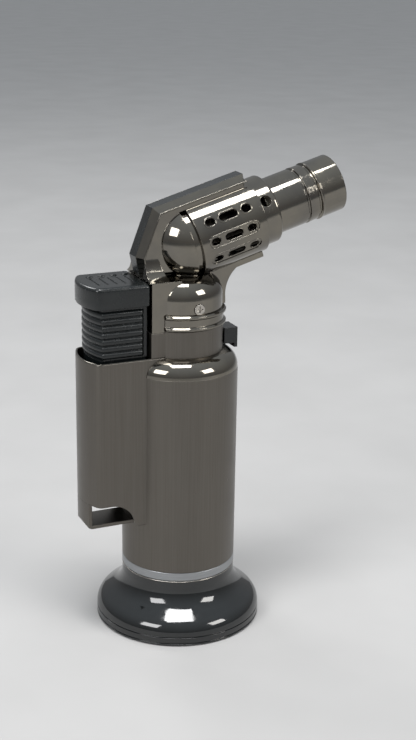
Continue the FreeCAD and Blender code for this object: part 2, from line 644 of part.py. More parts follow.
def head_screws():
    """Two round-head cross-recess screws, one from each side."""
    screws = []
    for sign in ("", "-"):
        face, seat = f"{sign}(dome_radius+0.25)", f"{sign}(dome_radius-1)"
        slot_floor, slot_mouth = f"{sign}(dome_radius-0.25)", f"{sign}(dome_radius+1)"
        tip = f"{sign}(post_near+0.4)"
        low, high = (seat, face) if sign == "" else (face, seat)
        near, far = (tip, seat) if sign == "" else (seat, tip)
        slot = (slot_floor, slot_mouth) if sign == "" else (slot_mouth, slot_floor)
        cross = [block((f"screw_x-({a})", f"screw_x+({a})"), slot, (f"screw_z-({b})", f"screw_z+({b})"))
                 for a, b in ((0.95, 0.22), (0.22, 0.95))]
        head = rod_along_y("screw_head", low, high, "screw_x", "screw_z")
        shank = rod_along_y("0.8", near, far, "screw_x", "screw_z")
        screws.append(cut(fuse(head, shank), *cross))
    group = part("Compound", "screws")
    group.Links = screws
    return group


# ---------------------------------------------------------------- barrel

def point_out(obj, station, angle):
    """Turns a piece drawn along +Z to point out from the barrel axis at a station. The angle
    is measured round the axis: 0 is below it, 90 is level towards +Y."""
    turn = FreeCAD.Rotation(V(0, 0, 1), angle).multiply(FreeCAD.Rotation(V(0, 1, 0), 90))
    obj.Placement = FreeCAD.Placement(V(0, 0, size(station)), turn)
    bind(obj, "Placement.Base.z", station)
    return obj


def vent(station, angle, length, half, deep):
    """Rounded slot in the barrel's wall: right through it when deep, otherwise a shallow recess."""
    near = "barrel_radius-3" if deep else "barrel_radius-vent_depth"
    far = "barrel_radius+3"
    straight = f"({length})/2-({half})"
    middle = block((f"-({straight})", straight), (f"-({half})", half), (near, far))
    ends = [rod(half, near, far, x=f"{sign}({straight})") for sign in ("", "-")]
    return point_out(fuse(middle, *ends), station, angle)


def barrel_sleeve():
    """Vented tube: on each side, three rows of a long slot between two short ones.
    The two lower rows lie in a shallow recess."""
    tube = cut(rod("barrel_radius", "barrel_start", "barrel_end"),
               rod("barrel_radius-barrel_wall", "barrel_start-1", "barrel_end+1"))
    tools = []
    for side in (90, -90):
        for row in (-1, 0, 1):
            angle = side + row * size("vent_angle")
            if row * side <= 0:
                tools.append(vent("vent_middle", angle, "2*vent_pitch+vent_short+1.6", "vent_half+0.7",
                                  False))
            for step, length in ((-1, "vent_short"), (0, "vent_long"), (1, "vent_short")):
                tools.append(vent(f"vent_middle+({step})*vent_pitch", angle, length, "vent_half", True))
    return on_barrel(cut(tube, *tools))


def air_collar():
    """Ring between sleeve and nozzle, with air holes and a lip inside each neighbour."""
    ring = turned([
        ("7.5", "barrel_end-2.5"), ("barrel_radius-barrel_wall-0.05", "barrel_end-2.5"),
        ("barrel_radius-barrel_wall-0.05", "barrel_end+0.03"), ("collar_out", "barrel_end+0.03"),
        ("collar_out", "collar_end-0.9", "0.9"), ("collar_out-0.9", "collar_end"),
        ("nozzle_radius+0.03", "collar_end"), ("nozzle_radius+0.03", "nozzle_start-0.1"),
        ("7.5", "nozzle_start-0.1")])
    holes = [point_out(rod("air_hole", "0", "12"), "air_station", angle) for angle in (-120, 0, 120)]
    return on_barrel(cut(ring, *holes))


def nozzle_tube():
    """Front tube with two grooves and a raised middle ring."""
    first, second = "nozzle_start+12.7", "nozzle_start+16.5"
    corners = [("nozzle_bore", "nozzle_start"), ("nozzle_radius", "nozzle_start")]
    for groove in (first, second):
        corners += [("nozzle_radius", f"{groove}-0.45"), ("nozzle_radius-0.35", f"{groove}-0.2"),
                    ("nozzle_radius-0.35", f"{groove}+0.25"), ("nozzle_radius+0.1", f"{groove}+0.45")]
    corners += [("nozzle_radius+0.3", f"{second}+0.6"), ("nozzle_radius+0.3", f"{second}+0.9"),
                ("nozzle_radius+0.15", f"{second}+1.2"), ("nozzle_radius+0.15", "nozzle_end-0.3"),
                ("nozzle_radius-0.1", "nozzle_end"), ("nozzle_bore+0.2", "nozzle_end"),
                ("nozzle_bore", "nozzle_end-0.4")]
    return on_barrel(turned(corners))


def flame_tube():
    return on_barrel(turned([
        ("mixer_radius+0.03", "flame_start"), ("flame_radius", "flame_start"), ("flame_radius", "flame_end"),
        ("flame_bore", "flame_end"), ("flame_bore", "mixer_end+0.5"),
        ("mixer_radius+0.03", "mixer_end+0.5")]))


def flame_holder():
    """Perforated disc that the flame sits on."""
    holes = [rod("0.8", "0", "60")]
    for index in range(8):
        angle = f"({45 * index})"
        holes.append(rod("0.55", "0", "60", x=f"2.8*cos{angle}", y=f"2.8*sin{angle}"))
    return on_barrel(cut(rod("flame_bore-0.03", "flame_end-3", "flame_end-1.8"), *holes))


def burner_spacer():
    """Ring that centres the flame tube, with air holes and a hole for the electrode."""
    ring = cut(rod("7.47", "barrel_end-1.5", "barrel_end-0.3"), rod("4.05", "0", "60"))
    holes = [rod("0.8", "0", "60", x=f"5.8*cos({angle})", y=f"5.8*sin({angle})")
             for angle in range(60, 301, 40)]
    return on_barrel(cut(ring, rod("insulator_radius+0.05", "0", "60", x="electrode_offset"), *holes))


def mixing_tube():
    """Tube in front of the jet, with four air ports near its start."""
    tube = cut(rod("mixer_radius", "mixer_start", "mixer_end"), rod("mixer_bore", "0", "40"))
    ports = [point_out(rod("1.2", "0", "6"), "holder_end+2.4", angle) for angle in (45, 135, 225, 315)]
    return on_barrel(cut(tube, *ports))


def jet_holder():
    """Elbow block: gas comes up its barb and leaves along the barrel axis. Its cross bar is
    clamped between the two head shells."""
    along = on_barrel(fuse(rod("holder_radius", "holder_start", "mixer_start-0.05"),
                           rod("mixer_bore-0.03", "mixer_start-0.1", "holder_end"),
                           block(("-2", "2"), ("-8.5", "8.5"), ("-1.2", "1.2"))))
    barb = rod("hose_bore-0.05", "hose_low+3.4", "barrel_height-2")
    seat = rod("2.6", "hose_top+0.1", "barrel_height")
    passage = rod("0.5", "hose_low", "barrel_height")
    return cut(fuse(along, barb, seat), passage, on_barrel(rod("1.5", "0", "40")))


def jet_nozzle():
    """Screwed-in brass jet with a fine orifice."""
    return on_barrel(cut(fuse(rod("1.5", "3", "holder_end"), rod("2.4", "holder_end", "holder_end+1")),
                         rod("0.7", "0", "holder_end"), rod("0.15", "0", "60")))


def gas_hose():
    return cut(rod("hose_radius", "hose_low", "hose_top"), rod("hose_bore", "90", "120"))


def electrode_insulator():
    return on_barrel(cut(rod("insulator_radius", "9", "flame_end-1", x="electrode_offset"),
                         rod("0.35", "0", "60", x="electrode_offset")))


def electrode_wire():
    """Bare wire through the insulator, turned in towards the flame at its tip."""
    radius = 0.3
    offset = size("electrode_offset")
    mouth = size("flame_end")
    wire = cord([V(offset, 0, 9), V(offset, 0, mouth + 1.5), V(offset - 3.4, 0, mouth + 2)], radius,
                "electrode_wire")
    return on_barrel(wire)


def ignition_lead():
    """Insulated lead from the igniter, up the corner between housing and tank, to the electrode."""
    radius = 0.5
    corner_x, corner_y = -13.0, 9.3
    low = size("piezo_case_low") - 1.3
    offset = size("electrode_offset")
    tilt = math.radians(size("barrel_tilt"))

    def on_electrode(station):
        return V(station * math.cos(tilt) + offset * math.sin(tilt), 0,
                 size("barrel_height") + station * math.sin(tilt) - offset * math.cos(tilt))

    route = [V(-size("piezo_x"), 0, size("piezo_case_low") + 1.5), V(-size("piezo_x"), 0, low),
             V(corner_x, corner_y, low), V(corner_x, corner_y, 78), V(-10.7, 7.4, 81.5), V(-5.5, 7.6, 86.2),
             V(-5.5, 7.8, 101.5), V(2.6, 3.2, 106), on_electrode(4.6), on_electrode(9)]
    return cord(route, radius, "ignition_lead")


# ---------------------------------------------------------------- trigger, levers and igniter

def trigger_button():
    """Cap over a ribbed hollow skirt, with a narrower guide below and a cam rib in front."""
    cap = rounded_top(plan_slab(rounded_plan("cap_back", "cap_front", "cap_half", "2"), "cap_low", "cap_top"),
                      "cap_top", 0.9, "-cap_front")
    skirt = plan_slab(rounded_plan("skirt_back-0.45", "skirt_front", "skirt_half-0.45", "0.5"), "skirt_low",
                      "cap_low+1")
    band = block(("-skirt_front-1.1", "-skirt_front"), ("-skirt_half", "skirt_half"),
                 ("skirt_low", "cap_low+1"))
    ribs = []
    for index in range(7):
        ridge = f"skirt_low+1.2+({index})*rib_pitch"
        plan = rounded_plan("skirt_back", "skirt_front+1.5", "skirt_half", "0.7")
        ribs.append(plan_slab(plan, ridge, f"{ridge}+1"))
    guide = plan_slab(rounded_plan("guide_back", "guide_front", "guide_half", "0.7"), "guide_low",
                      "skirt_low+1")
    room = block(("2.4-guide_back", "-guide_front-1.3"), ("-6.2", "6.2"), ("guide_low-1", "cap_low+1.8"))
    cam_low, cam_high = "skirt_low+5.6", "cap_low-1.7"
    cam = slab([("-skirt_front-0.5", cam_low), ("-11.37", cam_low), ("-10.26", cam_high),
                ("-skirt_front-0.5", cam_high)], "1.4")
    grooves = [block((f"-cap_front-({x})-0.2", f"-cap_front-({x})+0.2"), ("-5.5", "3"),
                     ("cap_top-0.25", "cap_top+1"))
               for x in (3.3, 5.9, 8.5, 11.1, 13.7)]
    return cut(fuse(cap, skirt, band, guide, cam, *ribs), room, *grooves)


def piezo_plunger():
    x = ("-piezo_x-plunger_half_x", "plunger_half_x-piezo_x")
    return block(x, ("-plunger_half_y", "plunger_half_y"), ("plunger_low", "cap_low+1.8"))


def piezo_case():
    def room(half_x, half_y, low, high):
        return block((f"-piezo_x-({half_x})", f"-piezo_x+({half_x})"), (f"-({half_y})", half_y), (low, high))
    case = room("piezo_half_x", "piezo_half_y", "piezo_case_low", "piezo_case_top")
    shaft = room("plunger_half_x+0.1", "plunger_half_y+0.1", "piezo_case_low+7.5", "piezo_case_top+1")
    chamber = room("3.2", "3.2", "piezo_case_low+1.2", "piezo_case_low+6.5")
    return cut(case, shaft, chamber, rod("0.6", "40", "50", x="-piezo_x"))


def piezo_element():
    return rod("3", "piezo_case_low+1.6", "piezo_case_low+6.4", x="-piezo_x")


def piezo_spring():
    return coil("2.4", "0.35", "piezo_case_low+7.55", "plunger_low-0.05", "6", x="-piezo_x")


def gas_lever():
    """Bell crank: the cam pushes its tail and its fork lifts the valve stem's collar."""
    hub = rod_along_y("1.7", "-3.2", "3.2", "-pivot_x", "pivot_z")
    nose = rod_along_y("0.6", "-1.2", "1.2", "-pivot_x-2.6", "pivot_z-8")
    tail = slab([("-pivot_x-3", "pivot_z-8.2"), ("-pivot_x-2.1", "pivot_z-8.2"),
                 ("-pivot_x+0.4", "pivot_z-1"),
                 ("-pivot_x-1.4", "pivot_z-0.6"), ("-pivot_x-2.7", "pivot_z-6.8")], "1.2")
    arms = [block(("-pivot_x", "0.8"), span, ("pivot_z-0.4", "stem_collar-0.15"))
            for span in (("1.4", "3.2"), ("-3.2", "-1.4"))]
    return cut(fuse(hub, nose, tail, *arms),
               rod_along_y("pin_radius+running", "-10", "10", "-pivot_x", "pivot_z"))


def lever_pin():
    return rod_along_y("pin_radius", "-7.4", "7.4", "-pivot_x", "pivot_z")


# ---------------------------------------------------------------- assembly

casting = head_casting()
NODES = {
    "base_stand": base_stand(), "base_plate": base_plate(), "base_collar": base_collar(),
    "fuel_tank": fuel_tank(), "tank_seal": tank_seal(), "tank_lid": tank_lid(),
    "fill_valve_body": fill_valve_body(), "fill_valve_seal": fill_valve_seal(),
    "fill_valve_stem": fill_valve_stem(), "fill_valve_spring": fill_valve_spring(),
    "outlet_valve_body": outlet_valve_body(), "outlet_valve_stem": outlet_valve_stem(),
    "valve_spring": valve_spring(), "flow_lever": flow_lever(),
    "body_sleeve": body_sleeve(), "housing_liner": housing_liner(), "lanyard_loop": lanyard_loop(),
    "shoulder_cap": shoulder_cap(), "neck_band": neck_band(), "neck_ring": neck_ring(),
    "head_shell_left": head_shell(casting, -1), "head_shell_right": head_shell(casting, 1),
    "head_spine": head_spine(), "head_screws": head_screws(),
    "barrel_sleeve": barrel_sleeve(), "air_collar": air_collar(), "nozzle_tube": nozzle_tube(),
    "flame_tube": flame_tube(), "flame_holder": flame_holder(), "burner_spacer": burner_spacer(),
    "mixing_tube": mixing_tube(), "jet_holder": jet_holder(), "jet_nozzle": jet_nozzle(),
    "gas_hose": gas_hose(),
    "electrode_insulator": electrode_insulator(), "electrode_wire": electrode_wire(),
    "ignition_lead": ignition_lead(),
    "trigger_button": trigger_button(), "piezo_plunger": piezo_plunger(), "piezo_case": piezo_case(),
    "piezo_element": piezo_element(), "piezo_spring": piezo_spring(),
    "gas_lever": gas_lever(), "lever_pin": lever_pin(),
}
for node, obj in NODES.items():
    obj.Label = node
doc.recompute()

faults = [item.Label for item in doc.Objects if {"Invalid", "Error"} & set(item.State)]
faults += [node for node, obj in NODES.items() if obj.Shape.isNull() or not obj.Shape.isValid()]
if faults:
    raise RuntimeError("failed: " + ", ".join(faults))

os.makedirs("parts", exist_ok=True)
for node, obj in NODES.items():
    obj.Shape.exportStep(f"parts/{node}.step")
    print(f"{node}: {len(obj.Shape.Solids)} solid, {obj.Shape.Volume:.1f} mm3")
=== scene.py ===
import bpy
import bmesh
import json
import math
from mathutils import Matrix, Vector


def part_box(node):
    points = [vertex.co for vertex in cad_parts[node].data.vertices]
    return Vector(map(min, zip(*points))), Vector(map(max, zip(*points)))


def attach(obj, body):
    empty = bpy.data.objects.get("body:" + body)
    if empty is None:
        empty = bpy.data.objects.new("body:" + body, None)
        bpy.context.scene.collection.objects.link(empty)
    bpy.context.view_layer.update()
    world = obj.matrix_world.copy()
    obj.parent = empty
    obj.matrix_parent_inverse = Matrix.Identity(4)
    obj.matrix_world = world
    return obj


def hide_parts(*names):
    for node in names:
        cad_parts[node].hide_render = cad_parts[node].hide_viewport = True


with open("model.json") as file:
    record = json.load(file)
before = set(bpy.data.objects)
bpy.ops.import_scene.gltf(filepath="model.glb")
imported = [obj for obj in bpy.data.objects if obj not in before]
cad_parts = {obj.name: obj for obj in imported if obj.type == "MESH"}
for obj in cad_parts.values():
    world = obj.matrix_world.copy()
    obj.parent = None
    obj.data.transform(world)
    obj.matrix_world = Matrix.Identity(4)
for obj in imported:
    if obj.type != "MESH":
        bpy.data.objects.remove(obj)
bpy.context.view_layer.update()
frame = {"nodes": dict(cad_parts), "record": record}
NODES = frame["nodes"]
MM = 0.001


# ---------------------------------------------------------------- materials

class Tree:
    """Small helper around one material's nodes."""

    def __init__(self, name, metallic, roughness, colour):
        self.material = bpy.data.materials.new(name)
        self.material.use_nodes = True
        self.nodes = self.material.node_tree.nodes
        self.links = self.material.node_tree.links
        self.shader = self.nodes["Principled BSDF"]
        self.shader.inputs["Metallic"].default_value = metallic
        self.shader.inputs["Roughness"].default_value = roughness
        self.shader.inputs["Base Color"].default_value = (*colour, 1)
        self.coordinates = self.nodes.new("ShaderNodeTexCoord")

    def noise(self, scale, detail=3, roughness=0.5, stretch=(1, 1, 1), tilt=0.0):
        """Noise in the object's own millimetres, stretched along an axis."""
        mapping = self.nodes.new("ShaderNodeMapping")
        mapping.inputs["Rotation"].default_value = (0, tilt, 0)
        mapping.inputs["Scale"].default_value = [1000 * s for s in stretch]
        self.links.new(self.coordinates.outputs["Object"], mapping.inputs["Vector"])
        texture = self.nodes.new("ShaderNodeTexNoise")
        texture.inputs["Scale"].default_value = scale
        texture.inputs["Detail"].default_value = detail
        texture.inputs["Roughness"].default_value = roughness
        self.links.new(mapping.outputs["Vector"], texture.inputs["Vector"])
        return texture.outputs["Fac"]

    def ranged(self, value, low, high, to_low=0.0, to_high=1.0):
        node = self.nodes.new("ShaderNodeMapRange")
        for socket, number in zip(("From Min", "From Max", "To Min", "To Max"), (low, high, to_low, to_high)):
            node.inputs[socket].default_value = number
        self.links.new(value, node.inputs["Value"])
        return node.outputs["Result"]

    def math(self, kind, first, second):
        node = self.nodes.new("ShaderNodeMath")
        node.operation = kind
        for socket, value in zip(node.inputs, (first, second)):
            if isinstance(value, (int, float)):
                socket.default_value = value
            else:
                self.links.new(value, socket)
        return node.outputs[0]

    def mix(self, factor, first, second):
        node = self.nodes.new("ShaderNodeMix")
        node.data_type = "RGBA"
        self.links.new(factor, node.inputs["Factor"])
        for socket, value in zip((node.inputs[6], node.inputs[7]), (first, second)):
            if isinstance(value, tuple):
                socket.default_value = (*value, 1)
            else:
                self.links.new(value, socket)
        return node.outputs[2]

    def bump(self, height, strength, distance):
        node = self.nodes.new("ShaderNodeBump")
        node.inputs["Strength"].default_value = strength
        node.inputs["Distance"].default_value = distance
        self.links.new(height, node.inputs["Height"])
        previous = self.shader.inputs["Normal"].links
        if previous:
            self.links.new(previous[0].from_socket, node.inputs["Normal"])
        self.links.new(node.outputs["Normal"], self.shader.inputs["Normal"])

    def rounded_edges(self, radius):
        node = self.nodes.new("ShaderNodeBevel")
        node.samples = 6
        node.inputs["Radius"].default_value = radius
        self.links.new(node.outputs["Normal"], self.shader.inputs["Normal"])

    def scratches(self, scale, tilt, width):
        """Thin sparse lines: 1 on a scratch, 0 elsewhere."""
        wavy = self.noise(scale, 2, 0.4, (1, 1, 0.06), tilt)
        line = self.math("ABSOLUTE", self.math("SUBTRACT", wavy, 0.5), 0)
        thin = self.ranged(line, 0.0, width, 1.0, 0.0)
        patches = self.ranged(self.noise(0.12, 2, 0.5, tilt=tilt), 0.52, 0.6)
        return self.math("MULTIPLY", thin, patches)

    def set(self, socket, value):
        self.links.new(value, self.shader.inputs[socket])


def polished(name, colour, tint, roughness=0.05):
    """Polished plating with faint cloudiness, orange peel and hairline wear."""
    tree = Tree(name, 1.0, roughness, colour)
    tree.rounded_edges(0.25 * MM)
    cloud = tree.noise(0.09, 4, 0.55)
    tree.set("Base Color", tree.mix(tree.ranged(cloud, 0.35, 0.7), colour, tint))
    hair = tree.scratches(0.9, 0.5, 0.012)
    smear = tree.ranged(tree.noise(0.35, 4, 0.6), 0.4, 0.75, roughness, roughness + 0.07)
    tree.set("Roughness", tree.math("ADD", smear, tree.math("MULTIPLY", hair, 0.18)))
    tree.bump(tree.noise(0.5, 2, 0.5), 0.05, 0.15 * MM)
    return tree.material


def brushed(name, colour, tint, roughness=0.34, along=(1, 1, 0.012), grain=2.6, tilt=0.0):
    """Satin plating, brushed along one axis, with small dents and rubbed patches."""
    tree = Tree(name, 1.0, roughness, colour)
    tree.rounded_edges(0.3 * MM)
    lines = tree.noise(grain, 4, 0.65, along, tilt)
    broad = tree.noise(grain * 0.22, 3, 0.6, along, tilt)
    tree.set("Base Color", tree.mix(tree.ranged(lines, 0.3, 0.7), colour, tint))
    rub = tree.ranged(tree.noise(0.06, 3, 0.6), 0.45, 0.7, 0.0, 0.08)
    fine = tree.ranged(lines, 0.25, 0.75, roughness - 0.07, roughness + 0.09)
    tree.set("Roughness", tree.math("ADD", fine, rub))
    tree.bump(tree.math("ADD", lines, broad), 0.18, 0.03 * MM)
    specks = tree.ranged(tree.noise(0.75, 1, 0.3), 0.76, 0.82)
    tree.bump(specks, 0.5, -0.08 * MM)
    return tree.material


def moulded(name, colour, tint, roughness, grain=0.0, gloss=0.5, scratch=0.25):
    """Moulded plastic: mottled tone, fine surface grain and light scratches."""
    tree = Tree(name, 0.0, roughness, colour)
    tree.shader.inputs["Specular IOR Level"].default_value = gloss
    tree.rounded_edges(0.2 * MM)
    tone = tree.ranged(tree.noise(0.12, 4, 0.6), 0.35, 0.7)
    marks = tree.scratches(0.8, 1.1, 0.014)
    worn = tree.math("MULTIPLY", marks, scratch)
    base = tree.mix(tone, colour, tint)
    pale = tuple(min(1.0, c * 3 + 0.06) for c in tint)
    tree.set("Base Color", tree.mix(worn, base, pale))
    rough = tree.ranged(tree.noise(0.4, 4, 0.6), 0.35, 0.7, roughness - 0.04, roughness + 0.06)
    tree.set("Roughness", tree.math("ADD", rough, tree.math("MULTIPLY", worn, 0.5)))
    if grain:
        tree.bump(tree.noise(9, 2, 0.5), grain, 0.05 * MM)
    return tree.material


def dull(name, colour, tint, roughness, metallic=0.0, bump=0.2, scale=2.0):
    """Cast, turned or unglazed surface with visible grain."""
    tree = Tree(name, metallic, roughness, colour)
    grain = tree.noise(scale, 4, 0.6)
    tree.set("Base Color", tree.mix(tree.ranged(grain, 0.35, 0.65), colour, tint))
    tree.set("Roughness", tree.ranged(grain, 0.3, 0.7, roughness - 0.06, roughness + 0.08))
    tree.bump(grain, bump, 0.06 * MM)
    return tree.material


MATERIALS = {
    "stand_plastic": moulded("stand_plastic", (0.003, 0.004, 0.0042), (0.005, 0.0065, 0.007), 0.07,
                             gloss=0.75, scratch=0.03),
    "collar_metal": brushed("collar_metal", (0.30, 0.31, 0.32), (0.36, 0.37, 0.38), 0.34,
                            (0.05, 0.05, 1), 3.0),
    "tank_plastic": moulded("tank_plastic", (0.05, 0.05, 0.055), (0.07, 0.07, 0.075), 0.3),
    "seal_rubber": dull("seal_rubber", (0.015, 0.015, 0.015), (0.03, 0.03, 0.03), 0.75),
    "brass": dull("brass", (0.66, 0.47, 0.20), (0.74, 0.55, 0.26), 0.25, 1.0, 0.1),
    "spring_steel": dull("spring_steel", (0.42, 0.42, 0.43), (0.55, 0.55, 0.56), 0.3, 1.0, 0.15),
    "black_plastic": moulded("black_plastic", (0.004, 0.0052, 0.0055), (0.007, 0.009, 0.0095), 0.24,
                             grain=0.04, scratch=0.3),
    "gunmetal": brushed("gunmetal", (0.125, 0.114, 0.100), (0.150, 0.139, 0.124)),
    "black_chrome": polished("black_chrome", (0.165, 0.155, 0.138), (0.215, 0.198, 0.165)),
    "screw_steel": polished("screw_steel", (0.40, 0.38, 0.35), (0.50, 0.47, 0.42), 0.18),
    "burner_steel": dull("burner_steel", (0.30, 0.28, 0.26), (0.42, 0.38, 0.34), 0.32, 1.0, 0.1),
    "zinc": dull("zinc", (0.38, 0.38, 0.39), (0.48, 0.48, 0.49), 0.5, 1.0, 0.4, 3.5),
    "hose_rubber": dull("hose_rubber", (0.20, 0.19, 0.17), (0.27, 0.26, 0.24), 0.6),
    "ceramic": dull("ceramic", (0.78, 0.76, 0.70), (0.86, 0.84, 0.79), 0.7, 0.0, 0.15),
    "lead_plastic": moulded("lead_plastic", (0.30, 0.02, 0.02), (0.36, 0.03, 0.025), 0.4),
    "piezo_plastic": moulded("piezo_plastic", (0.26, 0.27, 0.29), (0.31, 0.32, 0.34), 0.45),
}

slot_of = {row["node"]: row["material_slot"] for row in frame["record"]["subparts"]}
for node, obj in NODES.items():
    obj.data.materials.clear()
    obj.data.materials.append(MATERIALS[slot_of[node]])


# ---------------------------------------------------------------- mesh helpers

def piece(name, mesh, material, body, crease=35):
    """Turns a bmesh in millimetres into a shown piece that rides on a body."""
    data = bpy.data.meshes.new(name)
    bmesh.ops.recalc_face_normals(mesh, faces=mesh.faces)
    mesh.to_mesh(data)
    mesh.free()
    data.transform(Matrix.Scale(MM, 4))
    data.materials.append(MATERIALS[material])
    for polygon in data.polygons:
        polygon.use_smooth = True
    data.set_sharp_from_angle(angle=math.radians(crease))
    obj = bpy.data.objects.new(name, data)
    bpy.context.scene.collection.objects.link(obj)
    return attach(obj, body)


def skin(mesh, rings, capped=True, looped=False):
    """Faces between successive rings of points. Looped rings close on the first one."""
    loops = [[mesh.verts.new(point) for point in ring] for ring in rings]
    pairs = list(zip(loops, loops[1:]))
    if looped:
        pairs.append((loops[-1], loops[0]))
    for low, high in pairs:
        for first in range(len(low)):
            second = (first + 1) % len(low)
            mesh.faces.new((low[first], low[second], high[second], high[first]))
    if capped:
        mesh.faces.new(list(reversed(loops[0])))
        mesh.faces.new(loops[-1])


def arc(centre, radius, start, end, steps):
    """Points on an arc, from one angle to another in radians."""
    turn = (end - start) / steps
    return [(centre[0] + radius * math.cos(start + i * turn), centre[1] + radius * math.sin(start + i * turn))
            for i in range(steps + 1)]


def bowed_plan(back, front, half, corner, front_corner=0.15):
    """Plan points of a block from x = -back to x = -front, with a bowed back and rounded corners."""
    inner = BACK_BOW - corner
    reach = math.sqrt(inner ** 2 - (half - corner) ** 2)
    bow_x = BACK_BOW - back
    lean = math.asin((half - corner) / inner)
    side = math.pi / 2
    front_x, front_y = -front - front_corner, half - front_corner
    points = arc((front_x, -front_y), front_corner, -side, 0, 5)
    points += arc((front_x, front_y), front_corner, 0, side, 5)
    points += [(front_x - 0.25 * step, half) for step in range(1, 11)]
    points += arc((bow_x - reach, half - corner), corner, side, math.pi - lean, 8)
    points += arc((bow_x, 0), BACK_BOW, math.pi - lean, math.pi + lean, 24)[1:-1]
    points += arc((bow_x - reach, corner - half), corner, math.pi + lean, 3 * side, 8)
    points += [(front_x - 0.25 * step, -half) for step in range(10, 0, -1)]
    return points


def level(points, z):
    """Plan points at one height."""
    return [(x, y, z) for x, y in points]


def carved(obj, cutter):
    """Cuts one closed mesh out of a piece, for good."""
    tool_data = bpy.data.meshes.new("cutter")
    cutter.to_mesh(tool_data)
    cutter.free()
    tool_data.transform(Matrix.Scale(MM, 4))
    tool = bpy.data.objects.new("cutter", tool_data)
    bpy.context.scene.collection.objects.link(tool)
    modifier = obj.modifiers.new("cut", "BOOLEAN")
    modifier.object = tool
    modifier.solver = "EXACT"
    bpy.context.view_layer.update()
    result = bpy.data.meshes.new_from_object(obj.evaluated_get(bpy.context.evaluated_depsgraph_get()))
    obj.modifiers.clear()
    obj.data = result
    bpy.data.objects.remove(tool)
    return obj


def box_mesh(mesh, low, high):
    """Adds a plain box between two corners."""
    x, y, z = zip(low, high)
    rings = [[(x[0], y[0], h), (x[1], y[0], h), (x[1], y[1], h), (x[0], y[1], h)] for h in z]
    skin(mesh, rings)


# ---------------------------------------------------------------- trigger button

BACK_BOW = 18.0
button_low, button_high = (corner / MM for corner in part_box("trigger_button"))
CAP_BACK, CAP_HALF, CAP_TOP, GUIDE_LOW = -button_low.x, button_high.y, button_high.z, button_low.z
CAP_FRONT, CAP_LOW = 13.05, 101.2
SKIRT_BACK, SKIRT_FRONT, SKIRT_HALF, SKIRT_LOW = 29.3, 13.3, 8.6, 85.9
GUIDE_BACK, GUIDE_FRONT, GUIDE_HALF = 28.8, 13.6, 7.55
RIB_PITCH, RIB_COUNT, RIB_DEPTH = 1.95, 7, 0.85


def trigger_cap():
    """Cap with rounded edges, five shallow grooves and four grip bumps on top."""
    corner, front_corner, edge = 2.1, 0.75, 1.15

    def ring(inset, z):
        plan = bowed_plan(CAP_BACK - inset, CAP_FRONT + inset * 0.6, CAP_HALF - inset,
                          corner - inset, front_corner)
        return level(plan, z)

    rings = [ring(0.3, CAP_LOW), ring(0.09, CAP_LOW + 0.09), ring(0, CAP_LOW + 0.3)]
    rings += [ring(0, CAP_LOW + 2), ring(0, CAP_TOP - edge - 1)]
    for step in range(9):
        angle = math.pi / 2 * step / 8
        rings.append(ring(edge * (1 - math.cos(angle)), CAP_TOP - edge + edge * math.sin(angle)))
    rings.append(ring(edge + 0.3, CAP_TOP))
    mesh = bmesh.new()
    skin(mesh, rings)
    cap = piece("trigger_cap", mesh, "black_plastic", "trigger")
    grooves = bmesh.new()
    for index in range(5):
        x = -CAP_FRONT - 3.3 - 2.6 * index
        box_mesh(grooves, (x - 0.22, -5.6, CAP_TOP - 0.22), (x + 0.22, 2.6, CAP_TOP + 1))
    carved(cap, grooves)
    bumps = bmesh.new()
    for index in range(4):
        centre = Vector((-15.4 - 3.6 * index, 4.6, CAP_TOP - 0.1))
        rings = []
        for step in range(6):
            angle = math.pi / 2 * step / 6
            wide, deep = 1.05 * math.cos(angle), 0.7 * math.cos(angle)
            outline = [centre + Vector((math.copysign(abs(math.cos(t)) ** 0.6, math.cos(t)) * wide,
                                        math.copysign(abs(math.sin(t)) ** 0.6, math.sin(t)) * deep,
                                        0.55 * math.sin(angle)))
                       for t in (2 * math.pi * k / 28 for k in range(28))]
            rings.append(outline)
        skin(bumps, rings)
    piece("trigger_grip_bumps", bumps, "black_plastic", "trigger")
    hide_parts("trigger_button")


